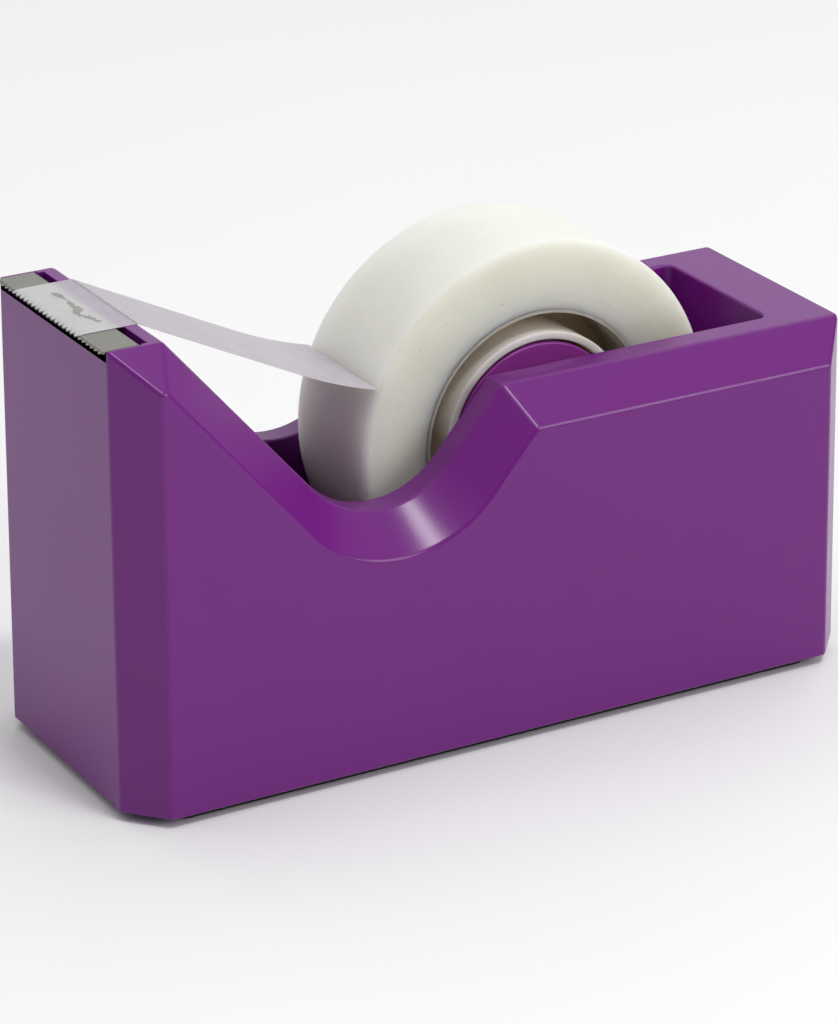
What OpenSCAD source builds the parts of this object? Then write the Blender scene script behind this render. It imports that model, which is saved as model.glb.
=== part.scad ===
// Weighted desk tape dispenser: a chamfered plastic body with a tall front post that carries
// the cutter, a dip, and a rear block whose well holds the tape roll on its hub and axle.
// +X runs from the cutter to the back, +Y to the left of a person who faces the cutter, +Z up.
// The origin is on the desk, at the middle of the footprint.

/* [Body] */
// Length of the body
body_l = 108; // [104:1:114]
// Width of the body
body_w = 42.4; // [41.6:0.2:46]
// Height of the front post above the desk
post_h = 63.5; // [62:0.5:66]
// Height of the rear block above the desk
block_h = 48.6; // [47.6:0.2:49.6]
// Depth of the flat top of the post, front to back
post_top_l = 7.6; // [7.2:0.1:8.4]
// Where the flat top of the rear block begins, measured from the middle
block_x = 1.8; // [0:0.2:3]
// Steepness of both slopes of the dip, in degrees
slope = 49.3; // [48:0.1:51]
// Radius of the bottom of the dip
dip_r = 12.9; // [12:0.1:13.4]
// How far the edge chamfers reach across the width
chamfer_w = 5.4; // [4.6:0.1:5.6]
// How far the edge chamfers reach into the side view
chamfer_d = 4.7; // [4:0.1:5]
// Wall thickness of the moulding
wall = 2.2; // [1.8:0.1:2.4]
// Draft: how far each end face stands out further at the foot than at the top
draft_x = 0.6; // [0:0.1:0.8]
// Draft: the same on each side face
draft_y = 0.4; // [0:0.1:0.6]

/* [Well and axle] */
// Distance of the axle from the middle of the body
roll_x = 11.6; // [11:0.1:12]
// Height of the axle above the desk
axle_z = 37.6; // [37.2:0.1:38.4]
// Length of the well
well_l = 67.3; // [66:0.1:68]
// Width of the well
well_w = 24.2; // [24:0.1:24.6]
// Height of the well's floor above the desk
well_floor = 8.4; // [8:0.1:9]
// Corner radius of the well
well_r = 1.5; // [1:0.1:3]
// Diameter of the axle
axle_d = 4; // [3:0.1:4.4]
// Length of the axle
axle_l = 23.8; // [23.2:0.1:23.8]

/* [Tape roll] */
// Outer diameter of the roll
roll_d = 52.4; // [40:0.2:52.8]
// Width of the tape
tape_w = 19; // [12:0.5:19]
// How far the roll sits off the middle of its hub
tape_y = 0.85; // [0:0.05:0.9]
// Bore of the core, a 1 inch standard size
core_bore = 25.4; // [25.2:0.1:25.6]
// Inner diameter of the outer tube of the core
core_tube_d = 32.8; // [31:0.2:34]
// Thickness of the loose strip
strip_t = 0.1; // [0.06:0.01:0.2]

/* [Hub] */
// Diameter of the hub's drum
hub_d = 24.6; // [24:0.1:24.8]
// Width of the hub
hub_w = 17.3; // [16:0.1:17.6]

/* [Cutter] */
// Width of the cutter plate
blade_w = 30.6; // [29:0.1:31]
// Sheet thickness of the cutter
blade_t = 0.5; // [0.4:0.05:0.6]
// Number of teeth
tooth_count = 27; // [20:1:36]
// Length of the sloping lip that carries the teeth
lip_l = 0.9; // [0.7:0.05:1.1]

/* [Base] */
// Thickness of the non-slip pad
pad_t = 1.2; // [1:0.1:1.4]
// Thickness of the base plate
base_t = 2; // [1.8:0.1:2]
// Thickness of the flat ballast under the well
ballast_t = 2.9; // [2:0.1:2.9]

/* [Hidden] */
$fn = 96;

body_purple = [0.44, 0.20, 0.49];
steel_grey = [0.62, 0.61, 0.58];
frosted = [0.90, 0.90, 0.86];

front_x = -body_l / 2;
fit = 0.05;                     // gap between two pieces that lie against each other
over = 1;                       // how far a cut runs past the surface it opens

// The dip: two straight slopes that touch a circle of radius dip_r
post_rear_x = front_x + post_top_l;
slope_rise = tan(slope);
dip_x = (post_h - block_h + slope_rise * (post_rear_x + block_x)) / (2 * slope_rise);
dip_z = post_h - slope_rise * (dip_x - post_rear_x) + dip_r / cos(slope);
slope_l = 60;                   // the slopes are cut well past the tops of post and block
dip_steps = 32;

// The chamfer keeps its angle when a form is inset by t, and its legs shrink by this factor
chamfer_hyp = norm([chamfer_w, chamfer_d]);
function leg_scale(t) = 1 - t * (chamfer_w + chamfer_d - chamfer_hyp) / (chamfer_w * chamfer_d);

// Cutter seat and slot
blade_x0 = front_x + 0.1;       // where the flat plate bends down into its lip
blade_x1 = front_x + 4.9;       // rear edge of the plate
lip_angle = 16;                 // lip below the horizontal
tooth_depth = 0.45;
leg_l = 4.2;                    // rear leg that grips the slot
slot_x1 = blade_x1 + 0.9;       // back wall of the slot
relief_l = 0.6;                 // step under the teeth, front to back
relief_h = 1.4;                 // and its height
anchor_z = post_h - 7;          // solid material around the slot down to here

// Cradle that carries the axle ends
pad_w = 8;                      // raised pad on each wall of the well
pad_y = 1.3;
pad_drop = 2;                   // its top, below the rim of the well
cradle_clear = 0.1;

// Screws and bosses
screw_d = 2.4;
screw_l = 8;
screw_head_d = 4.2;
screw_head_h = 1.2;
boss_d = 5.8;
boss_h = 12;
base_screw_x = [-44, 44];
base_screw_y = 16.6;
ballast_screw_x = [-43, -32];

// Ballast block inside the post
block_x0 = front_x + wall + 0.4;
block_x1 = -25;
block_half_w = 13.4;
block_low_h = 29;
block_high_h = 47;
block_high_l = 10;

// Hub
hub_wall = 1.5;
hub_boss_d = 8;
bore_clear = 0.05;              // running gap between axle and hub
grip_count = 6;
grip_w = 1.6;
grip_h = 0.3;
collar_d = 8.6;
face_rim = 2.3;                 // flat rim around the raised middle of each end face
face_rise = 0.5;

// Core
core_ring_t = 1.1;
core_tube_t = 0.4;
core_web_t = 1.5;
winding_r = core_tube_d / 2 + core_tube_t;

// Loose strip: it leaves the roll on its front, rises to the post and lies on the cutter
strip_gap = 0.08;
strip_z = post_h + strip_gap;
peel_angle = 156.4;             // where it leaves the roll, around the axle from +X
peel_r = roll_d / 2 + strip_gap;
peel_at = [roll_x + peel_r * cos(peel_angle), axle_z + peel_r * sin(peel_angle)];
strip_turn = 6;                 // length over which the strip flattens near the roll
strip_steps = 6;

// ---------- helpers ----------

// Extrudes an outline drawn in X and Z between two values of Y
module across(y0, y1) {
    translate([0, y1, 0])
        rotate([90, 0, 0])
            linear_extrude(y1 - y0)
                children();
}

// A round bar along Y
module bar_y(r, y0, y1, r_end) {
    translate([0, y0, 0])
        rotate([-90, 0, 0])
            cylinder(h = y1 - y0, r1 = r, r2 = r_end);
}

// A round bar along Y, centred on the axle
module on_axle(r, y0, y1) {
    translate([roll_x, 0, axle_z])
        bar_y(r, y0, y1, r);
}

module both_sides() {
    for (side = [0, 1])
        mirror([0, side, 0])
            children();
}

// ---------- the body's outer form, inset by t ----------

// Seen from above: a rectangle with its corners cut, inset by t and with a share of the draft
module plan_outline(t, draft) {
    x = body_l / 2 - t + draft * draft_x;
    y = body_w / 2 - t + draft * draft_y;
    dx = chamfer_d * leg_scale(t);
    dy = chamfer_w * leg_scale(t);
    polygon([[x, y - dy], [x - dx, y], [dx - x, y], [-x, y - dy],
             [-x, dy - y], [dx - x, -y], [x - dx, -y], [x, dy - y]]);
}

// Seen from above, all the way up, wider at the foot
module plan_prism(t, bottom) {
    hull() {
        translate([0, 0, bottom])
            linear_extrude(0.01)
                plan_outline(t, 1);
        translate([0, 0, post_h])
            linear_extrude(0.01)
                plan_outline(t, 0);
    }
}

// Seen from the front: a flat top of height h whose edges are cut out past the sides
module section_prism(h, x0, x1, t) {
    top_y = body_w / 2 - t - chamfer_w * leg_scale(t);
    side_y = body_w / 2 + over;
    z = h - t;
    low_z = z - (side_y - top_y) * chamfer_d / chamfer_w;
    translate([x0, 0, 0])
        rotate([90, 0, 90])
            linear_extrude(x1 - x0)
                polygon([[-side_y, 0], [-side_y, low_z], [-top_y, z],
                         [top_y, z], [side_y, low_z], [side_y, 0]]);
}

// Side view of the dip, grown by g: a straight slope on each side of a round bottom
module dip_outline(g) {
    r = dip_r + g;
    rise = slope_l * [cos(slope), sin(slope)];
    arc = [for (i = [0:dip_steps])
               let (a = slope * (2 * i / dip_steps - 1))
               r * [sin(a), -cos(a)]];
    translate([dip_x, dip_z])
        polygon(concat([arc[0] + [-rise.x, rise.y]], arc, [arc[dip_steps] + rise]));
}

// The dip opens outwards through the chamfer on each side
module dip_flare(t) {
    grow = chamfer_d / chamfer_w;
    y0 = body_w / 2 - t - chamfer_w * leg_scale(t);
    y1 = body_w / 2 + over;
    both_sides()
        hull() {
            across(y0 - over, y0 - over + 0.01) dip_outline(t - over * grow);
            across(y1, y1 + 0.01) dip_outline(t + (y1 - y0) * grow);
        }
}

module body_form(t, bottom) {
    difference() {
        intersection() {
            plan_prism(t, bottom);
            union() {
                section_prism(post_h, -body_l, dip_x, t);
                section_prism(block_h, dip_x, body_l, t);
            }
        }
        across(-body_w, body_w)
            dip_outline(t);
        dip_flare(t);
    }
}

// ---------- housing ----------

module well(grow) {
    x = well_l / 2 + grow;
    y = well_w / 2 + grow;
    r = well_r + grow;
    translate([roll_x, 0, well_floor - grow])
        linear_extrude(post_h) {
            square([2 * x - 2 * r, 2 * y], center = true);
            square([2 * x, 2 * y - 2 * r], center = true);
            for (i = [-1, 1], j = [-1, 1])
                translate([i * (x - r), j * (y - r)])
                    circle(r);
        }
}

module at_base_screws() {
    for (x = base_screw_x, side = [-1, 1])
        translate([x, side * base_screw_y, pad_t])
            children();
}

module at_ballast_screws() {
    for (x = ballast_screw_x)
        translate([x, 0, pad_t])
            children();
}

// Solid material that holds the cutter's leg
module blade_anchor() {
    translate([front_x, -body_w / 2, anchor_z])
        cube([slot_x1 + wall - front_x, body_w, post_h]);
}

module housing_cavity() {
    difference() {
        body_form(wall, 0);
        well(wall);
        blade_anchor();
        at_base_screws()
            translate([0, 0, base_t])
                cylinder(h = boss_h, d = boss_d);
    }
}

// A raised pad down each wall of the well keeps the hub centred
module cradle_pads() {
    both_sides()
        translate([roll_x - pad_w / 2, well_w / 2 - pad_y, well_floor - 0.1])
            cube([pad_w, pad_y + 0.1, block_h - well_floor - pad_drop + 0.1]);
}

// Slots in the pads, open at the top, in which the axle ends rest
module cradle_slots() {
    y = axle_l / 2 + cradle_clear;
    r = axle_d / 2 + cradle_clear;
    across(-y, y)
        translate([roll_x, axle_z + cradle_clear / 2]) {
            circle(r);
            translate([-r, 0])
                square([2 * r, post_h]);
        }
}

module blade_seat() {
    seat_w = blade_w + 2 * fit;
    translate([front_x - over, -seat_w / 2, post_h - blade_t])
        cube([blade_x1 + over - front_x, seat_w, over + blade_t]);
    translate([front_x - over, -seat_w / 2, post_h - relief_h])
        cube([relief_l + over, seat_w, relief_h + over]);
    translate([blade_x1 - blade_t - fit, -(blade_w - 0.6) / 2, post_h - leg_l - 0.3])
        cube([slot_x1 - blade_x1 + blade_t + fit, blade_w - 0.6, leg_l + over]);
}

module housing_shell() {
    color(body_purple)
        difference() {
            union() {
                difference() {
                    body_form(0, pad_t);
                    housing_cavity();
                    well(0);
                }
                cradle_pads();
            }
            cradle_slots();
            blade_seat();
            at_base_screws()
                cylinder(h = base_t + boss_h - 2, d = screw_d + 0.04);
        }
}

// ---------- base ----------

module screw_hole() {
    translate([0, 0, -over])
        cylinder(h = base_t + 2 * over, d = screw_d + 0.3);
    translate([0, 0, -fit])
        cylinder(h = screw_head_h + fit, d1 = screw_head_d + 0.3, d2 = screw_d + 0.3);
}

module base_plate() {
    rib = 1.2;
    rib_h = 2.8;
    color([0.12, 0.10, 0.13])
        difference() {
            union() {
                translate([0, 0, pad_t])
                    linear_extrude(base_t)
                        plan_outline(wall + fit, 1);
                translate([block_x1 + 0.2, -block_half_w, pad_t + base_t])
                    cube([rib, 2 * block_half_w, rib_h]);
                both_sides()
                    translate([-40, block_half_w + 0.2, pad_t + base_t])
                        cube([15, rib, rib_h]);
            }
            at_base_screws() screw_hole();
            at_ballast_screws() screw_hole();
        }
}

module non_slip_pad() {
    color([0.05, 0.05, 0.05])
        linear_extrude(pad_t)
            intersection() {
                plan_outline(1.8, 1);
                square([94.4, body_w], center = true);
            }
}

// Countersunk screw with a cross recess, its head flush with z = 0
module screw() {
    difference() {
        union() {
            cylinder(h = screw_head_h, d1 = screw_head_d, d2 = screw_d);
            cylinder(h = screw_l, d = screw_d);
        }
        for (turn = [0, 90])
            rotate([0, 0, turn])
                cube([2.4, 0.6, 1.4], center = true);
    }
}

module base_screws() {
    color(steel_grey)
        at_base_screws() screw();
}

module ballast_screws() {
    color(steel_grey)
        at_ballast_screws() screw();
}

// Cast weight that fills the post, so the dispenser stays put when tape is pulled
module ballast_block() {
    z0 = pad_t + base_t;
    color([0.25, 0.25, 0.26])
        difference() {
            across(-block_half_w, block_half_w)
                polygon([[block_x0, z0], [block_x0, block_high_h], [block_x0 + block_high_l, block_high_h],
                         [block_x1, block_low_h], [block_x1, z0]]);
            at_ballast_screws()
                cylinder(h = screw_l + 1, d = screw_d + 0.04);
        }
}

// Steel sheet between the base plate and the floor of the well
module ballast_plate() {
    x0 = block_x1 + 1.8;
    x1 = base_screw_x[1] - boss_d / 2 - 0.6;
    color([0.45, 0.45, 0.46])
        translate([x0, -body_w / 2 + wall + 0.6, pad_t + base_t])
            cube([x1 - x0, body_w - 2 * wall - 1.2, ballast_t]);
}

// ---------- cutter ----------

// Strip of teeth in its own plane: the root lies on y = 0 and the tips on y = lip_l
module tooth_outline() {
    pitch = blade_w / tooth_count;
    root = lip_l - tooth_depth;
    points = [for (i = [0:tooth_count - 1])
                  each [[i * pitch, root], [(i + 0.5) * pitch, lip_l]]];
    polygon(concat([[0, 0]], points, [[blade_w, root], [blade_w, 0]]));
}

module cutter_blade() {
    color(steel_grey) {
        translate([blade_x0, -blade_w / 2, post_h - blade_t])
            cube([blade_x1 - blade_x0, blade_w, blade_t]);
        translate([blade_x1 - blade_t, -blade_w / 2 + 0.6, post_h - leg_l])
            cube([blade_t, blade_w - 1.2, leg_l]);
        translate([blade_x0, -blade_w / 2, post_h])
            rotate([0, -lip_angle, 0])
                rotate([0, 0, 90])
                    translate([0, 0, -blade_t])
                        linear_extrude(blade_t)
                            tooth_outline();
    }
}

// ---------- axle ----------

module axle_rod() {
    bevel = 0.4;
    y = axle_l / 2;
    color([0.75, 0.75, 0.76]) {
        on_axle(axle_d / 2, bevel - y, y - bevel);
        both_sides()
            translate([roll_x, 0, axle_z])
                bar_y(axle_d / 2, y - bevel, y, axle_d / 2 - bevel);
    }
}

// A collar on each end of the axle keeps the hub clear of the walls
module axle_collars() {
    color([0.85, 0.85, 0.83])
        both_sides()
            difference() {
                on_axle(collar_d / 2, hub_w / 2 + face_rise + 0.1, well_w / 2 - pad_y - 0.1);
                on_axle(axle_d / 2, 0, well_w);
            }
}

// ---------- hub ----------

// The middle of the end face on the -Y side, raised, with a sloping edge
module raised_face() {
    foot_r = hub_d / 2 - face_rim;
    sunk = 0.2;
    translate([roll_x, 0, axle_z])
        bar_y(foot_r - 6 * face_rise, -hub_w / 2 - face_rise, sunk - hub_w / 2, foot_r);
}

module hub_drum() {
    y = hub_w / 2;
    color(body_purple)
        difference() {
            union() {
                difference() {
                    on_axle(hub_d / 2, -y, y - hub_wall);
                    on_axle(hub_d / 2 - hub_wall, hub_wall - y, y);
                }
                on_axle(hub_boss_d / 2, -y, y - hub_wall);
                raised_face();
                for (i = [1:grip_count])
                    translate([roll_x, 0, axle_z])
                        rotate([0, i * 360 / grip_count, 0])
                            translate([hub_d / 2 - 0.5, 2 - y, -grip_w / 2])
                                cube([grip_h + 0.5, hub_w - 2 - 2 * hub_wall, grip_w]);
                for (turn = [0:3])
                    translate([roll_x, 0, axle_z])
                        rotate([0, turn * 90, 0])
                            translate([hub_boss_d / 2 - 0.3, 0.5 - y, -0.6])
                                cube([hub_d / 2 - hub_wall - hub_boss_d / 2 + 0.8, 9, 1.2]);
            }
            on_axle(axle_d / 2 + bore_clear, -hub_w, hub_w);
        }
}

module hub_cap() {
    y = hub_w / 2;
    color(body_purple)
        difference() {
            union() {
                on_axle(hub_d / 2, y - hub_wall, y);
                mirror([0, 1, 0])
                    raised_face();
                difference() {
                    on_axle(hub_d / 2 - hub_wall, y - hub_wall - 3, y - hub_wall);
                    on_axle(hub_d / 2 - 2 * hub_wall, -hub_w, hub_w);
                }
            }
            on_axle(axle_d / 2 + bore_clear, -hub_w, hub_w);
        }
}

// ---------- tape ----------

module tape_core() {
    y0 = tape_y - tape_w / 2;
    y1 = tape_y + tape_w / 2;
    color([0.78, 0.73, 0.66]) {
        difference() {
            on_axle(core_bore / 2 + core_ring_t, y0, y1);
            on_axle(core_bore / 2, y0 - over, y1 + over);
        }
        difference() {
            on_axle(winding_r, y0, y1);
            on_axle(core_tube_d / 2, y0 - over, y1 + over);
        }
        difference() {
            on_axle(winding_r - core_tube_t / 2, tape_y - core_web_t / 2, tape_y + core_web_t / 2);
            on_axle(core_bore / 2 + core_ring_t / 2, y0, y1);
        }
    }
}

module tape_winding() {
    color(frosted)
        difference() {
            on_axle(roll_d / 2, tape_y - tape_w / 2, tape_y + tape_w / 2);
            on_axle(winding_r, tape_y - tape_w, tape_y + tape_w);
        }
}

// The strip's path from the teeth to the roll, the last stretch a quadratic curve
function strip_path() =
    let (ridge = [post_rear_x, strip_z],
         corner = peel_at + strip_turn * [-0.95, 0.25],
         enter = corner + strip_turn * (ridge - corner) / norm(ridge - corner))
    concat([[front_x - 0.3, strip_z], ridge],
           [for (i = [0:strip_steps])
                let (u = i / strip_steps)
                (1 - u) * (1 - u) * enter + 2 * u * (1 - u) * corner + u * u * peel_at]);

module tape_strip() {
    path = strip_path();
    last = len(path) - 1;
    color(frosted, 0.8)
        across(tape_y - tape_w / 2, tape_y + tape_w / 2)
            polygon(concat(path, [for (i = [last:-1:0]) path[i] + [0, strip_t]]));
}

housing_shell();
base_plate();
non_slip_pad();
base_screws();
ballast_screws();
ballast_block();
ballast_plate();
cutter_blade();
axle_rod();
axle_collars();
hub_drum();
hub_cap();
tape_core();
tape_winding();
tape_strip();
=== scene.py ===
"""Looks of the weighted desk tape dispenser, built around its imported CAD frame.

Lengths are in metres. +X runs from the cutter to the back, +Y to the left of a person who faces the
cutter, +Z up, and the origin is on the desk at the middle of the footprint.
"""

import math
import random

import bmesh
import bpy
from mathutils import Matrix, Vector
from mathutils.bvhtree import BVHTree


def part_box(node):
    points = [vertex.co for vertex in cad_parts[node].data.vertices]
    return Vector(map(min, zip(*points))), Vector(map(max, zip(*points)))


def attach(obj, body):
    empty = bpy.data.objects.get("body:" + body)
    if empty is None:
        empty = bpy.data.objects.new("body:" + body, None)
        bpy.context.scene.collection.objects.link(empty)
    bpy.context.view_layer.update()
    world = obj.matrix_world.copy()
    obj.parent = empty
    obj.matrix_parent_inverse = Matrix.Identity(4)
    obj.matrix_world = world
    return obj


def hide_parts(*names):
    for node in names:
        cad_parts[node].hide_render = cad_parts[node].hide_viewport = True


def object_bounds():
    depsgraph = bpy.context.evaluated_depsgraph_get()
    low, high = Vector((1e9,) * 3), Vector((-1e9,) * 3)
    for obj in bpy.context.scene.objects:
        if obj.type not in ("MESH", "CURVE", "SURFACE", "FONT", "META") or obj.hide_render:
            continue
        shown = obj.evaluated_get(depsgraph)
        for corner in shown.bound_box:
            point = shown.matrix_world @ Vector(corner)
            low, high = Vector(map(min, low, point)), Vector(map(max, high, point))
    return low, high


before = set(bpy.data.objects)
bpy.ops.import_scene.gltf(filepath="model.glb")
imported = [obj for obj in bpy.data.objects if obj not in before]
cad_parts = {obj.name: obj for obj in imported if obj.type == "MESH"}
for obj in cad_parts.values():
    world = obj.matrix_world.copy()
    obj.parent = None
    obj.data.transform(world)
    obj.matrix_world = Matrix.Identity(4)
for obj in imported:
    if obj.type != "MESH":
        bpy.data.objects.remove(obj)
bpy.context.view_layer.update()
scene = bpy.context.scene

MM = 0.001

# Camera, as fitted to the corners of the body
CAMERA_AZIMUTH = math.radians(-29.397)
CAMERA_ELEVATION = math.radians(22.833)
CAMERA_ROLL = math.radians(-0.33)
CAMERA_DISTANCE = 0.5762
CAMERA_TARGET = Vector((-0.00167, 0, 0.02565))
CAMERA_LENS = 151.74

# Roundings. A share is a part of the shell's own rounding.
SHARP_ANGLE = math.radians(28)   # an edge that turns by more than this is rounded
SHELL_EDGE = 0.42 * MM
SEAT_SHARE = 0.25                # beside the cutter
SEAT_REACH = 1.5 * MM
CRADLE_SHARE = 0.1               # on the pads that carry the axle
CRADLE_HALF = 4.5 * MM
CRADLE_BESIDE = 1 * MM
CRADLE_TOP = 10 * MM
SHORT_EDGE = 0.16 * MM           # shorter edges are joined away before rounding
PLATE_EDGE = 0.25 * MM
METAL_EDGE = 0.12 * MM
ROLL_EDGE = 0.9 * MM

# Cutter
TOOTH_COUNT = 27
TOOTH_DEPTH = 0.45 * MM
LIP_ANGLE = math.radians(16)
LIP_END = 0.05 * MM              # plain lip left above the roots of the teeth
BLADE_FLAT = 4.8 * MM            # from the rear corner to the fold
BLADE_SHEET = 0.5 * MM
BLADE_FOLD = 0.55 * MM
FOLD_STEPS = 6
FOLD_FIRST = FOLD_STEPS + 2      # the first point of the fold, along the blade's path
LIP_SHARE = 0.35                 # share of the sheet's thickness on the lip
TIP_SHARE = 0.2                  # and at its end
LEG_POINTS = 4                   # points of the path that lie on the leg
LEG_WIDTH = 0.96                 # the leg's width, as a share of the plate's

# Studio light, as radiances
WORLD_DIM = 0.03
WORLD_BRIGHT = 0.72
WORLD_OVERHEAD = 0.78
GLOW_TOWARD = Vector((0.35, 0.85, 0.40))
KEY_RADIANCE = 30
FILL_RADIANCE = 5.1
LIGHT_AIM = Vector((0, 0, 0.03))
FLOOR_GAP = 0.05 * MM

# Core
CORE_RING_INNER = 12.7 * MM
CORE_RING_OUTER = 13.8 * MM
CORE_TUBE_WALL = 0.4 * MM

# Tape
FILM = 0.06 * MM
WOUND_LAYERS = 12
LAYER_SLIP = 0.025 * MM
LAYER_SOFT = 0.12                # share of a layer that rounds its corners
TURN_SPACING = 0.2 * MM
RIM_STEPS = 6
TREAD_STEPS = 8
STRIP_CURL = 0.12 * MM
STRIP_GAP = 0.02 * MM
STRIP_SPACING = 0.5 * MM
RIDGE_BEHIND = 2.7 * MM          # from the plate's rear edge to the crease in the strip
STUCK_SHIFT = 1.1 * MM           # the clear patch of the strip, from the middle of the plate
STUCK_SIDE = 0.6 * MM
STUCK_DRIFT = 5 * MM


def core_tube_radii():
    """Inner and outer radius of the core's outer tube."""
    lo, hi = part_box("tape_core")
    outer = (hi.x - lo.x) / 2
    return outer - CORE_TUBE_WALL, outer


# ---------- shader nodes ----------

def node(tree, kind, sockets=None, **settings):
    """Adds a shader node. Each socket takes a value, or the output socket that it is linked to."""
    made = tree.nodes.new("ShaderNode" + kind)
    for name, value in settings.items():
        setattr(made, name, value)
    for name, value in (sockets or {}).items():
        if isinstance(value, bpy.types.NodeSocket):
            tree.links.new(value, made.inputs[name])
        else:
            made.inputs[name].default_value = value
    return made


def new_material(name, **shader):
    """A material with these values on its Principled shader. Returns the material, tree and shader."""
    made = bpy.data.materials.new(name)
    made.use_nodes = True
    bsdf = made.node_tree.nodes["Principled BSDF"]
    for socket, value in shader.items():
        bsdf.inputs[socket.replace("_", " ")].default_value = value
    return made, made.node_tree, bsdf


def object_coords(tree, stretch=(1, 1, 1)):
    coords = node(tree, "TexCoord").outputs["Object"]
    return node(tree, "Mapping", {"Vector": coords, "Scale": stretch}).outputs["Vector"]


def noise(tree, size, coords=None, detail=3.0):
    """Noise whose features are about size across."""
    if coords is None:
        coords = object_coords(tree)
    sockets = {"Vector": coords, "Scale": 1 / size, "Detail": detail}
    return node(tree, "TexNoise", sockets).outputs["Fac"]


def remap(tree, value, low, high, start=0.3, end=0.7, smooth=False):
    """Maps value from start..end to low..high."""
    sockets = {"Value": value, "From Min": start, "From Max": end, "To Min": low, "To Max": high}
    kind = "SMOOTHSTEP" if smooth else "LINEAR"
    return node(tree, "MapRange", sockets, interpolation_type=kind).outputs["Result"]


def blend_colors(tree, factor, first, second):
    mix = node(tree, "Mix", {"Factor": factor}, data_type="RGBA")
    for socket, colour in ((mix.inputs[6], first), (mix.inputs[7], second)):
        if isinstance(colour, bpy.types.NodeSocket):
            tree.links.new(colour, socket)
        else:
            socket.default_value = (*colour, 1)
    return mix.outputs[2]


def maths(tree, operation, first, second=0.0):
    made = node(tree, "Math", operation=operation)
    for socket, value in zip(made.inputs, (first, second)):
        if isinstance(value, bpy.types.NodeSocket):
            tree.links.new(value, socket)
        else:
            socket.default_value = value
    return made.outputs[0]


def bump(tree, height, depth):
    return node(tree, "Bump", {"Height": height, "Distance": depth}).outputs["Normal"]


def axle_radius(tree):
    """Distance from the axle, in metres, for a piece whose own origin is on the axle."""
    parts = node(tree, "SeparateXYZ", {"Vector": object_coords(tree)})
    x2 = maths(tree, "POWER", parts.outputs["X"], 2.0)
    z2 = maths(tree, "POWER", parts.outputs["Z"], 2.0)
    return maths(tree, "SQRT", maths(tree, "ADD", x2, z2))


# ---------- materials ----------

def moulded_plastic(name, dark, light, gloss=0.25, grain=0.006 * MM):
    """Satin moulding: a very fine spark-eroded grain, faint clouds of colour and gloss."""
    made, tree, bsdf = new_material(name, IOR=1.42)
    clouds = noise(tree, 14 * MM)
    tree.links.new(blend_colors(tree, clouds, dark, light), bsdf.inputs["Base Color"])
    tree.links.new(remap(tree, clouds, gloss - 0.04, gloss + 0.05, 0.0, 1.0), bsdf.inputs["Roughness"])
    pitting = noise(tree, 0.28 * MM, detail=2.0)
    tree.links.new(bump(tree, pitting, grain), bsdf.inputs["Normal"])
    return made


def sheet_steel(name, dark, light, gloss=0.36, stretch=(1, 0.04, 1)):
    """Satin rolled steel: fine lines along the rolling direction, with a few cloudy patches."""
    made, tree, bsdf = new_material(name, Metallic=1.0)
    lines = noise(tree, 0.12 * MM, object_coords(tree, stretch), detail=4.0)
    clouds = noise(tree, 5 * MM)
    tint = blend_colors(tree, remap(tree, clouds, 0, 1), dark, light)
    tree.links.new(tint, bsdf.inputs["Base Color"])
    tree.links.new(remap(tree, lines, gloss - 0.06, gloss + 0.08), bsdf.inputs["Roughness"])
    tree.links.new(bump(tree, lines, 0.004 * MM), bsdf.inputs["Normal"])
    return made


def black_foam():
    """Closed-cell foam: a dull black surface with small pores."""
    made, tree, bsdf = new_material("PadFoam", Specular_IOR_Level=0.3)
    sockets = {"Vector": object_coords(tree), "Scale": 1 / (0.35 * MM)}
    cells = node(tree, "TexVoronoi", sockets).outputs["Distance"]
    walls = remap(tree, cells, 0, 1, 0.1, 0.6)
    tint = blend_colors(tree, walls, (0.006, 0.006, 0.006), (0.02, 0.02, 0.021))
    tree.links.new(tint, bsdf.inputs["Base Color"])
    tree.links.new(remap(tree, cells, 0.95, 0.75, 0.1, 0.6), bsdf.inputs["Roughness"])
    tree.links.new(bump(tree, cells, 0.05 * MM), bsdf.inputs["Normal"])
    return made


def cast_iron():
    """Rough cast metal with a dull skin."""
    made, tree, bsdf = new_material("BallastIron", Metallic=0.7)
    lumps = noise(tree, 1.2 * MM, detail=6.0)
    tint = blend_colors(tree, remap(tree, lumps, 0, 1), (0.05, 0.045, 0.042), (0.12, 0.115, 0.11))
    tree.links.new(tint, bsdf.inputs["Base Color"])
    tree.links.new(remap(tree, lumps, 0.8, 0.55), bsdf.inputs["Roughness"])
    tree.links.new(bump(tree, lumps, 0.12 * MM), bsdf.inputs["Normal"])
    return made


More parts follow.
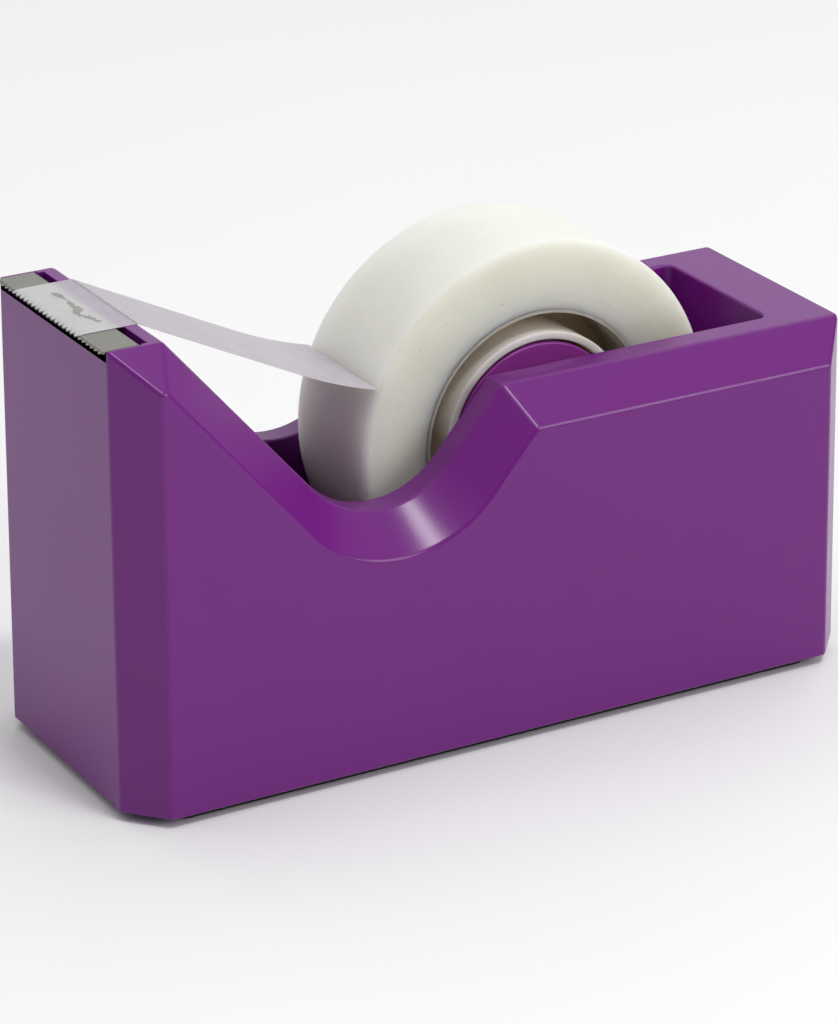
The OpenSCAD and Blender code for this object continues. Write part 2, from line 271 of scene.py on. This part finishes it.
def wound_tape():
    """Frosted film wound in many turns: milky all through, with faint rings and flecks on its sides."""
    made, tree, bsdf = new_material(
        "WoundTape", Subsurface_Weight=0.9, Subsurface_Scale=1.0, IOR=1.42,
        Subsurface_Radius=(9 * MM, 8.6 * MM, 7.2 * MM))
    radius = axle_radius(tree)
    lo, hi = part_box("tape_winding")
    half = (hi.y - lo.y) / 2
    parts = node(tree, "SeparateXYZ", {"Vector": object_coords(tree)})
    off_middle = maths(tree, "ABSOLUTE", maths(tree, "SUBTRACT", parts.outputs["Y"], (lo.y + hi.y) / 2))
    side = remap(tree, off_middle, 0, 1, half - 0.7 * MM, half - 0.1 * MM, smooth=True)
    rings = {"W": maths(tree, "MULTIPLY", radius, 1 / TURN_SPACING), "Scale": 1.0, "Detail": 3.0}
    turns = node(tree, "TexNoise", rings, noise_dimensions="1D").outputs["Fac"]
    clouds = noise(tree, 7 * MM)
    patches = remap(tree, clouds, 0, 1, smooth=True)
    tread = blend_colors(tree, patches, (0.80, 0.80, 0.735), (0.83, 0.83, 0.77))
    edge = blend_colors(tree, patches, (0.69, 0.69, 0.595), (0.72, 0.72, 0.63))
    edge = blend_colors(tree, remap(tree, turns, 0, 0.25, 0.6, 0.8), edge, (0.56, 0.56, 0.47))
    flecks = remap(tree, noise(tree, 0.5 * MM, detail=1.0), 0, 0.5, 0.77, 0.82)
    edge = blend_colors(tree, flecks, edge, (0.35, 0.34, 0.30))
    tree.links.new(blend_colors(tree, side, tread, edge), bsdf.inputs["Base Color"])
    tree.links.new(remap(tree, clouds, 0.46, 0.58), bsdf.inputs["Roughness"])
    tread_lines = noise(tree, 0.5 * MM, object_coords(tree, (0.06, 1, 0.06)))
    side_relief = maths(tree, "MULTIPLY", turns, side)
    tread_relief = maths(tree, "MULTIPLY", tread_lines, 0.3)
    relief = maths(tree, "ADD", side_relief, tread_relief)
    tree.links.new(bump(tree, relief, 0.012 * MM), bsdf.inputs["Normal"])
    return made


def core_plastic():
    """Natural plastic core, with painted shade: yellow-brown in the groove between its two tubes, and
    darker on the outer tube's rim.
    """
    made, tree, bsdf = new_material("CorePlastic", IOR=1.46, Subsurface_Weight=0.6, Subsurface_Scale=1.0,
                                    Subsurface_Radius=(4 * MM, 3.2 * MM, 2.4 * MM))
    radius = axle_radius(tree)
    groove_start = CORE_RING_OUTER + 0.1 * MM
    groove_full = CORE_RING_OUTER + 1.2 * MM
    tube_inner = core_tube_radii()[0]
    # painted shade: in the groove, the web and the outer tube's inner wall are tinted a dull
    # yellow-brown, darker than the clean core
    groove_shade = remap(tree, radius, 0, 1, groove_start, groove_full, smooth=True)
    # painted shade: the outer tube's rim beside the winding takes the darker grey tint below, to blend
    # with the shaded band of the winding around the bore
    tube_rim_shade = remap(tree, radius, 0, 1, tube_inner + 0.02 * MM, tube_inner + 0.1 * MM)
    clouds = noise(tree, 3 * MM)
    patches = remap(tree, clouds, 0, 1)
    clean = blend_colors(tree, patches, (0.84, 0.76, 0.68), (0.88, 0.80, 0.73))
    painted_groove_shade = blend_colors(tree, patches, (0.78, 0.69, 0.49), (0.84, 0.76, 0.58))
    milky = blend_colors(tree, patches, (0.42, 0.41, 0.33), (0.46, 0.45, 0.37))
    tint = blend_colors(tree, groove_shade, clean, painted_groove_shade)
    tree.links.new(blend_colors(tree, tube_rim_shade, tint, milky), bsdf.inputs["Base Color"])
    tree.links.new(remap(tree, clouds, 0.38, 0.5), bsdf.inputs["Roughness"])
    tree.links.new(bump(tree, noise(tree, 0.3 * MM), 0.01 * MM), bsdf.inputs["Normal"])
    return made


def stuck_patch(tree, parts):
    """1 on the uneven patch where the film is pressed down clear on the cutter, and 0 elsewhere."""
    lo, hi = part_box("cutter_blade")
    middle = (lo.x + hi.x) / 2 + STUCK_SHIFT
    wobble = noise(tree, 4 * MM, object_coords(tree, (1, 0.5, 1)), detail=4.0)
    drift = maths(tree, "MULTIPLY", maths(tree, "SUBTRACT", wobble, 0.5), STUCK_DRIFT)
    across = maths(tree, "ADD", maths(tree, "SUBTRACT", parts.outputs["X"], middle), drift)
    thickness = remap(tree, noise(tree, 3 * MM), 0.1 * MM, 0.8 * MM, 0.35, 0.65)
    off_side = maths(tree, "ABSOLUTE", maths(tree, "SUBTRACT", parts.outputs["Y"], STUCK_SIDE))
    along = remap(tree, off_side, 1, 0, 5.8 * MM, 6.6 * MM, smooth=True)
    reach = maths(tree, "MULTIPLY", thickness, along)
    band = maths(tree, "SUBTRACT", reach, maths(tree, "ABSOLUTE", across))
    return remap(tree, band, 0, 1, 0.0, 0.12 * MM, smooth=True)


def loose_film():
    """Frosted film. It is milky in the air, and clears where it is pressed down on the cutter."""
    made, tree, bsdf = new_material("LooseTape", IOR=1.45, Subsurface_Scale=1.0,
                                    Subsurface_Radius=(0.2 * MM, 0.2 * MM, 0.2 * MM))
    parts = node(tree, "SeparateXYZ", {"Vector": object_coords(tree)})
    along = parts.outputs["X"]
    plate_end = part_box("cutter_blade")[1].x
    ridge = plate_end + RIDGE_BEHIND
    wet = stuck_patch(tree, parts)
    in_air = remap(tree, along, 0, 1, plate_end - 1 * MM, plate_end + 2.4 * MM, smooth=True)
    past_plate = remap(tree, along, 0, 1, plate_end - 0.8 * MM, plate_end + 1.2 * MM, smooth=True)
    past_ridge = remap(tree, along, 0, 1, ridge, ridge + 0.5 * MM, smooth=True)
    on_ridge = maths(tree, "SUBTRACT", past_plate, past_ridge)
    off_ridge = maths(tree, "ABSOLUTE", maths(tree, "SUBTRACT", along, ridge))
    # painted shade: a dark line across the strip where it bends over the ridge's rear edge
    bend_shade = remap(tree, off_ridge, 0.9, 0, 0.1 * MM, 0.3 * MM)
    milky = blend_colors(tree, in_air, (0.60, 0.59, 0.597), (0.50, 0.47, 0.51))
    tint = blend_colors(tree, wet, milky, (0.36, 0.36, 0.33))
    # painted light: the film over the ridge is tinted a paler lilac, standing for the purple ridge
    # glowing through it
    tint = blend_colors(tree, on_ridge, tint, (0.66, 0.60, 0.69))
    tint = blend_colors(tree, bend_shade, tint, (0.10, 0.09, 0.11))
    tree.links.new(tint, bsdf.inputs["Base Color"])
    tree.links.new(maths(tree, "MULTIPLY", in_air, 0.8), bsdf.inputs["Subsurface Weight"])
    thin_ridge = maths(tree, "MULTIPLY", on_ridge, 0.34)
    thin_patch = maths(tree, "MULTIPLY", wet, 0.15)
    thin = maths(tree, "ADD", thin_ridge, thin_patch)
    milkiness = remap(tree, noise(tree, 2.5 * MM), 0.82, 0.9)
    tree.links.new(maths(tree, "SUBTRACT", milkiness, thin), bsdf.inputs["Alpha"])
    tree.links.new(remap(tree, wet, 0.5, 0.28, 0, 1), bsdf.inputs["Roughness"])
    tree.links.new(bump(tree, noise(tree, 1.5 * MM), 0.01 * MM), bsdf.inputs["Normal"])
    return made


# ---------- meshes ----------

def finish_piece(name, bm, material, body, nodes, centre=None, edge_width=None):
    """Turns a bmesh into a shaded piece that rides on a body and stands for its CAD nodes."""
    if centre is not None:
        bmesh.ops.translate(bm, verts=bm.verts, vec=-centre)
    bmesh.ops.recalc_face_normals(bm, faces=bm.faces)
    mesh = bpy.data.meshes.new(name)
    bm.to_mesh(mesh)
    bm.free()
    mesh.shade_smooth()
    mesh.materials.append(material)
    piece = bpy.data.objects.new(name, mesh)
    scene.collection.objects.link(piece)
    if centre is not None:
        piece.location = centre
    if edge_width is not None:
        bevel = piece.modifiers.new("Rounding", "BEVEL")
        bevel.limit_method = "WEIGHT"
        bevel.width = edge_width
        bevel.segments = 3
        bevel.use_clamp_overlap = False
    normals = piece.modifiers.new("Normals", "WEIGHTED_NORMAL")
    normals.keep_sharp = True
    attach(piece, body)
    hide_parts(*nodes)
    return piece


def cad_bmesh(cad_node):
    """A CAD node's surface with its doubled points joined and its flat faces made whole."""
    bm = bmesh.new()
    bm.from_mesh(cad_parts[cad_node].data)
    bmesh.ops.remove_doubles(bm, verts=bm.verts, dist=0.03 * MM)
    bmesh.ops.dissolve_limit(bm, angle_limit=math.radians(0.6), verts=bm.verts, edges=bm.edges)
    return bm


def sharp_edges(bm):
    return [e for e in bm.edges if len(e.link_faces) == 2 and e.calc_face_angle() > SHARP_ANGLE]


def rounded_part(name, cad_node, material, body, width, centre=None):
    """A CAD node with all its sharp edges rounded."""
    bm = cad_bmesh(cad_node)
    weight = bm.edges.layers.float.new("bevel_weight_edge")
    for edge in sharp_edges(bm):
        edge[weight] = 1
    return finish_piece(name, bm, material, body, [cad_node], centre, width)


def gets_out(point, trees):
    """True if a straight line from the point leaves the object without meeting one of the trees."""
    for x in (-1, 0, 1):
        for y in (-1, 0, 1):
            for z in (-1, 0, 1):
                way = Vector((x, y, z))
                if way.length and not any(tree.ray_cast(point, way)[0] for tree in trees):
                    return True
    return False


def edge_middle(edge):
    return (edge.verts[0].co + edge.verts[1].co) / 2


def is_outside(edge, trees):
    outward = (edge.link_faces[0].normal + edge.link_faces[1].normal).normalized()
    return gets_out(edge_middle(edge) + outward * 0.05 * MM, trees)


def in_seat(point):
    """True on the seat of the cutter and right beside it."""
    lo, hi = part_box("cutter_blade")
    beside = point.x < hi.x + SEAT_REACH and abs(point.y) < hi.y + SEAT_REACH
    return beside and point.z > lo.z


def in_cradle(point):
    """True on the pads in the well that carry the axle."""
    lo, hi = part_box("axle_rod")
    middle = (lo + hi) / 2
    beside = abs(point.x - middle.x) < CRADLE_HALF and abs(point.y) < hi.y + CRADLE_BESIDE
    return beside and point.z < middle.z + CRADLE_TOP


def make_shell(material):
    """The moulding, with rounded edges outside. The cutter's seat and the axle's pads stay crisp."""
    bm = cad_bmesh("housing_shell")
    base = cad_bmesh("base_plate")
    trees = [BVHTree.FromBMesh(bm), BVHTree.FromBMesh(base)]
    base.free()
    outside = [e for e in sharp_edges(bm) if is_outside(e, trees)]
    ends = {v for e in outside if e.calc_length() < SHORT_EDGE for v in e.verts}
    bmesh.ops.remove_doubles(bm, verts=list(ends), dist=SHORT_EDGE)
    weight = bm.edges.layers.float.new("bevel_weight_edge")
    for edge in sharp_edges(bm):
        if not is_outside(edge, trees):
            continue
        middle = edge_middle(edge)
        edge[weight] = 1
        if in_seat(middle):
            edge[weight] = SEAT_SHARE
        elif in_cradle(middle):
            edge[weight] = CRADLE_SHARE
    return finish_piece("shell", bm, material, "housing", ["housing_shell"],
                        edge_width=SHELL_EDGE)


def rounded_loop(corners, radii, steps=4):
    """Points of a closed flat outline with each corner rounded by its own radius."""
    loop = []
    for i, (corner, radius) in enumerate(zip(corners, radii)):
        back = (corners[i - 1] - corner).normalized() * radius
        ahead = (corners[(i + 1) % len(corners)] - corner).normalized() * radius
        for k in range(steps + 1):
            u = k / steps
            loop.append(corner + back * (1 - u) ** 2 + ahead * u ** 2)
    return loop


def lathe(bm, profile, centre, steps=192):
    """Turns a closed profile of (radius, y) points around the axle."""
    rings = []
    for i in range(steps):
        turn = 2 * math.pi * i / steps
        out = Vector((math.cos(turn), 0, math.sin(turn)))
        rings.append([bm.verts.new((centre.x + r * out.x, y, centre.z + r * out.z)) for r, y in profile])
    count = len(profile)
    for ring, following in zip(rings, rings[1:] + rings[:1]):
        for j in range(count):
            k = (j + 1) % count
            bm.faces.new((ring[j], ring[k], following[k], following[j]))


def close_sheet(bm, columns, sharp):
    """Skins a sheet of (outer, inner) columns of points. Turns over sharp degrees stay crisp."""
    for (outer0, inner0), (outer1, inner1) in zip(columns, columns[1:]):
        for i in range(len(outer0) - 1):
            bm.faces.new((outer0[i], outer0[i + 1], outer1[i + 1], outer1[i]))
            bm.faces.new((inner0[i], inner1[i], inner1[i + 1], inner0[i + 1]))
        bm.faces.new((outer0[0], outer1[0], inner1[0], inner0[0]))
        bm.faces.new((outer0[-1], inner0[-1], inner1[-1], outer1[-1]))
    for outer, inner in (columns[0], columns[-1]):
        for i in range(len(outer) - 1):
            bm.faces.new((outer[i], inner[i], inner[i + 1], outer[i + 1]))
    bmesh.ops.recalc_face_normals(bm, faces=bm.faces)
    for edge in bm.edges:
        edge.smooth = edge.calc_face_angle(0) < math.radians(sharp)


# ---------- the pieces ----------

def make_winding(material, centre):
    """The wound tape. Its sides aren't quite flat, since some turns slip in or out by a hair."""
    lo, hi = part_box("tape_winding")
    outer = (hi.x - lo.x) / 2
    inner = core_tube_radii()[1]
    chance = random.Random(7)
    step = (outer - ROLL_EDGE - inner) / WOUND_LAYERS
    soft = LAYER_SOFT * step

    def side(y, inward):
        points = []
        for i in range(WOUND_LAYERS):
            slip = inward * chance.uniform(0, LAYER_SLIP)
            start = inner + i * step
            points.append((start + soft, y + slip))
            points.append((start + step - soft, y + slip))
        return points

    def rim(y, inward):
        points = []
        for k in range(RIM_STEPS + 1):
            turn = math.radians(90 * k / RIM_STEPS)
            radius = outer - ROLL_EDGE * (1 - math.sin(turn))
            points.append((radius, y + inward * ROLL_EDGE * (1 - math.cos(turn))))
        return points

    near = [(inner, lo.y + LAYER_SLIP)] + side(lo.y, 1) + rim(lo.y, 1)
    far = [(inner, hi.y - LAYER_SLIP)] + side(hi.y, -1) + rim(hi.y, -1)
    tread = [(outer, lo.y + (hi.y - lo.y) * k / TREAD_STEPS) for k in range(1, TREAD_STEPS)]
    bm = bmesh.new()
    lathe(bm, near + tread + far[::-1], centre, steps=256)
    return finish_piece("tape_roll", bm, material, "roll", ["tape_winding"], centre)


def make_core(material, centre):
    """Inner ring, outer tube and the web between them."""
    lo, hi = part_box("tape_core")
    tube_inner, tube_outer = core_tube_radii()
    ring_inner = CORE_RING_INNER
    ring_outer = CORE_RING_OUTER
    middle = (lo.y + hi.y) / 2
    web = 0.75 * MM
    fillet = 0.25 * MM
    crisp = 0.06 * MM
    corners = [
        (ring_inner, lo.y), (ring_outer, lo.y), (ring_outer, middle - web), (tube_inner, middle - web),
        (tube_inner, lo.y), (tube_outer, lo.y), (tube_outer, hi.y), (tube_inner, hi.y),
        (tube_inner, middle + web), (ring_outer, middle + web), (ring_outer, hi.y), (ring_inner, hi.y)]
    bm = bmesh.new()
    radii = 4 * [fillet] + 4 * [crisp] + 4 * [fillet]
    lathe(bm, rounded_loop([Vector(c) for c in corners], radii), centre)
    return finish_piece("core", bm, material, "roll", ["tape_core"], centre)


def blade_fold(hi):
    """Where the cutter's plate folds down, and the direction of its lip, both in side view."""
    fold = Vector((hi.x - BLADE_FLAT, hi.z))
    return fold, Vector((-math.cos(LIP_ANGLE), -math.sin(LIP_ANGLE)))


def blade_path(lo, hi):
    """Side view of the cutter's outer skin, from the foot of its leg to the end of its fold."""
    rear_corner = Vector((hi.x, hi.z))
    fold, lip = blade_fold(hi)
    points = [Vector((hi.x, lo.z))]
    for corner, back, ahead in ((rear_corner, Vector((0, -1)), Vector((-1, 0))),
                                (fold, Vector((1, 0)), lip)):
        for k in range(FOLD_STEPS + 1):
            u = k / FOLD_STEPS
            points.append(corner + BLADE_FOLD * (back * (1 - u) ** 2 + ahead * u ** 2))
    return points


def sheet_share(i, tip):
    """Share of the sheet's thickness at point i: it thins over the fold, and again at the tip."""
    if i == tip:
        return TIP_SHARE
    thinned = (1 - LIP_SHARE) * (i - FOLD_FIRST) / FOLD_STEPS
    return min(max(1 - thinned, LIP_SHARE), 1)


def blade_column(bm, line, y):
    """The outer and inner points of the cutter's sheet along one line of its side view."""
    outer = []
    inner = []
    last = len(line) - 1
    for i, point in enumerate(line):
        along = (line[min(i + 1, last)] - line[max(i - 1, 0)]).normalized()
        inward = Vector((-along.y, along.x))
        inside = point + inward * BLADE_SHEET * sheet_share(i, last)
        width = LEG_WIDTH if i < LEG_POINTS else 1.0
        outer.append(bm.verts.new((point.x, y * width, point.y)))
        inner.append(bm.verts.new((inside.x, y * width, inside.y)))
    return outer, inner


def make_cutter(material):
    """Folded sheet with a row of teeth, thinner towards their tips."""
    lo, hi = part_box("cutter_blade")
    skin = blade_path(lo, hi)
    fold, lip = blade_fold(hi)
    tip_at = Vector((lo.x, hi.z - (fold.x - lo.x) * math.tan(LIP_ANGLE)))
    reach = (tip_at - fold).length
    pitch = (hi.y - lo.y) / TOOTH_COUNT
    bm = bmesh.new()
    columns = []
    for k in range(2 * TOOTH_COUNT + 1):
        at_tip = k % 2 == 1
        end = fold + lip * (reach if at_tip else reach - TOOTH_DEPTH)
        line = skin + [fold + lip * (reach - TOOTH_DEPTH - LIP_END), end]
        columns.append(blade_column(bm, line, lo.y + k * pitch / 2))
    close_sheet(bm, columns, sharp=35)
    return finish_piece("cutter", bm, material, "housing", ["cutter_blade"])


def strip_side_view():
    """The strip's underside in side view, from the cutter to the roll, as (x, z) points."""
    lowest = {}
    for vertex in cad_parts["tape_strip"].data.vertices:
        x = round(vertex.co.x, 6)
        lowest[x] = min(vertex.co.z, lowest.get(x, 1.0))
    return [Vector((x, lowest[x])) for x in sorted(lowest)]


def resample(points, spacing):
    fine = []
    for start, end in zip(points, points[1:]):
        count = max(1, round((end - start).length / spacing))
        fine += [start.lerp(end, k / count) for k in range(count)]
    return fine + [points[-1]]


def strip_path(side_view, blade_top, fold, lip):
    """The strip's underside in side view, from its end on the lip to the roll."""
    for point in side_view[:2]:
        point.y = blade_top + STRIP_GAP
    above = Vector((0, STRIP_GAP))
    over_lip = [fold + lip * reach + above for reach in (0.45 * MM, 0.25 * MM)]
    over_lip.append(fold + above + Vector((0.3 * MM, 0)))
    on_plate = over_lip[-1] + Vector((STRIP_SPACING, 0))
    return over_lip + resample([on_plate] + side_view[1:], STRIP_SPACING)


def make_strip(material):
    """The loose strip: cut to the shape of the teeth, flat on the cutter, slightly curled in the air."""
    lo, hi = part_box("tape_strip")
    blade_lo, blade_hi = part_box("cutter_blade")
    fold, lip = blade_fold(blade_hi)
    side_view = strip_side_view()
    leaves_x = side_view[1].x
    path = strip_path(side_view, blade_hi.z, fold, lip)
    roll_x = path[-1].x
    half_pitch = (blade_hi.y - blade_lo.y) / (2 * TOOTH_COUNT)
    first = math.ceil((lo.y - blade_lo.y) / half_pitch)
    last = math.floor((hi.y - blade_lo.y) / half_pitch)
    edges = [(lo.y, 0)]
    edges += [(blade_lo.y + k * half_pitch, k % 2) for k in range(first, last + 1)]
    edges += [(hi.y, 0)]
    middle = (lo.y + hi.y) / 2
    half = (hi.y - lo.y) / 2
    bm = bmesh.new()
    columns = []
    for y, tip in edges:
        top = []
        under = []
        for i, point in enumerate(path):
            x, z = point + lip * (TOOTH_DEPTH if tip and i == 0 else 0)
            share = min(max((x - leaves_x) / (roll_x - leaves_x), 0), 1)
            z += STRIP_CURL * math.sin(math.pi * share) * (1 - ((y - middle) / half) ** 2)
            under.append(bm.verts.new((x, y, z)))
            top.append(bm.verts.new((x, y, z + FILM)))
        columns.append((top, under))
    close_sheet(bm, columns, sharp=60)
    return finish_piece("strip", bm, material, "axle", ["tape_strip"])


def make_object():
    purple = moulded_plastic("BodyPlastic", (0.150, 0.008, 0.190), (0.160, 0.009, 0.203))
    # painted light: the hub's purple is a lighter, greyer copy of the body's purple, to brighten the hub
    # where the well's near wall shades it
    lit_hub_purple = moulded_plastic("HubPlasticLitCopy", (0.27, 0.035, 0.28), (0.29, 0.04, 0.30), gloss=0.3)
    base_black = moulded_plastic("BasePlastic", (0.010, 0.008, 0.012), (0.016, 0.013, 0.018), gloss=0.5,
                                 grain=0.02 * MM)
    nylon = moulded_plastic("CollarPlastic", (0.62, 0.61, 0.57), (0.70, 0.69, 0.65), gloss=0.45)
    cutter = sheet_steel("CutterSteel", (0.25, 0.247, 0.222), (0.28, 0.276, 0.25))
    ballast_steel = sheet_steel("BallastSteel", (0.22, 0.22, 0.23), (0.30, 0.30, 0.31), gloss=0.45)
    zinc = sheet_steel("ScrewSteel", (0.50, 0.50, 0.48), (0.58, 0.58, 0.57), gloss=0.3, stretch=(1, 1, 1))
    drawn = sheet_steel("AxleSteel", (0.50, 0.50, 0.50), (0.60, 0.60, 0.60), gloss=0.25)

    rod_lo, rod_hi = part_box("axle_rod")
    axle = (rod_lo + rod_hi) / 2
    axle.y = 0

    make_shell(purple)
    rounded_part("base", "base_plate", base_black, "housing", PLATE_EDGE)
    rounded_part("pad", "non_slip_pad", black_foam(), "housing", PLATE_EDGE)
    rounded_part("screws", "base_screws", zinc, "housing", METAL_EDGE)
    rounded_part("weight_screws", "ballast_screws", zinc, "housing", METAL_EDGE)
    rounded_part("weight", "ballast_block", cast_iron(), "housing", 2 * PLATE_EDGE)
    rounded_part("weight_sheet", "ballast_plate", ballast_steel, "housing", METAL_EDGE)
    make_cutter(cutter)
    rounded_part("axle", "axle_rod", drawn, "axle", METAL_EDGE, axle)
    rounded_part("collars", "axle_collars", nylon, "axle", METAL_EDGE, axle)
    make_strip(loose_film())
    rounded_part("hub", "hub_drum", lit_hub_purple, "roll", PLATE_EDGE, axle)
    rounded_part("hub_lid", "hub_cap", lit_hub_purple, "roll", PLATE_EDGE, axle)
    make_core(core_plastic(), axle)
    make_winding(wound_tape(), axle)


# ---------- floor, light and camera ----------

def make_floor():
    bm = bmesh.new()
    bmesh.ops.create_grid(bm, x_segments=2, y_segments=2, size=6)
    mesh = bpy.data.meshes.new("floor")
    bm.to_mesh(mesh)
    bm.free()
    floor = bpy.data.objects.new("floor", mesh)
    floor.location.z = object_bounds()[0].z - FLOOR_GAP
    made, tree, bsdf = new_material("Floor", Roughness=0.9, Specular_IOR_Level=0.1)
    clouds = remap(tree, noise(tree, 0.2), 0, 1)
    tint = blend_colors(tree, clouds, (0.90, 0.90, 0.90), (0.915, 0.915, 0.915))
    tree.links.new(tint, bsdf.inputs["Base Color"])
    mesh.materials.append(made)
    scene.collection.objects.link(floor)


def view_back(azimuth, elevation):
    """The direction from the object to a camera or lamp at these angles. Azimuth 0 is seen from -Y."""
    flat = math.cos(elevation)
    return Vector((math.sin(azimuth) * flat, -math.cos(azimuth) * flat, math.sin(elevation)))


def soft_box(name, azimuth, elevation, distance, size, radiance):
    """A square area light that faces the object."""
    light = bpy.data.lights.new(name, "AREA")
    light.shape = "SQUARE"
    light.size = size
    light.energy = radiance * math.pi * size ** 2
    lamp = bpy.data.objects.new(name, light)
    back = view_back(math.radians(azimuth), math.radians(elevation))
    lamp.location = LIGHT_AIM + back * distance
    lamp.rotation_mode = "QUATERNION"
    lamp.rotation_quaternion = back.to_track_quat("Z", "Y")
    scene.collection.objects.link(lamp)


def make_light():
    """A pale studio, brighter behind the object and overhead, with a small and a large soft box."""
    world = bpy.data.worlds.new("Studio")
    world.use_nodes = True
    tree = world.node_tree
    toward = node(tree, "TexCoord").outputs["Generated"]
    parts = node(tree, "SeparateXYZ", {"Vector": toward})
    aligned = maths(tree, "MULTIPLY", parts.outputs["X"], GLOW_TOWARD.x)
    for axis, share in (("Y", GLOW_TOWARD.y), ("Z", GLOW_TOWARD.z)):
        aligned = maths(tree, "ADD", aligned, maths(tree, "MULTIPLY", parts.outputs[axis], share))
    level = remap(tree, aligned, WORLD_DIM, WORLD_BRIGHT, 0.1, 0.95, smooth=True)
    overhead = remap(tree, parts.outputs["Z"], 0, WORLD_OVERHEAD, 0.2, 1.0)
    background = tree.nodes["Background"]
    background.inputs["Color"].default_value = (1, 1, 1, 1)
    tree.links.new(maths(tree, "ADD", level, overhead), background.inputs["Strength"])
    scene.world = world
    soft_box("key", azimuth=12, elevation=65, distance=1.3, size=0.22, radiance=KEY_RADIANCE)
    soft_box("fill", azimuth=35, elevation=25, distance=1.4, size=0.6, radiance=FILL_RADIANCE)


def make_camera():
    camera = bpy.data.cameras.new("Camera")
    camera.sensor_width = 36
    camera.lens = CAMERA_LENS
    camera.clip_start = 0.01
    camera.clip_end = 50
    back = view_back(CAMERA_AZIMUTH, CAMERA_ELEVATION)
    right = (-back).cross(Vector((0, 0, 1))).normalized()
    up = right.cross(-back)
    rolled_right = right * math.cos(CAMERA_ROLL) + up * math.sin(CAMERA_ROLL)
    rolled_up = up * math.cos(CAMERA_ROLL) - right * math.sin(CAMERA_ROLL)
    holder = bpy.data.objects.new("Camera", camera)
    turn = Matrix((rolled_right, rolled_up, back)).transposed()
    holder.matrix_world = Matrix.Translation(CAMERA_TARGET + back * CAMERA_DISTANCE) @ turn.to_4x4()
    scene.collection.objects.link(holder)
    scene.camera = holder


make_object()
make_floor()
make_light()
make_camera()
scene.view_settings.view_transform = "Standard"
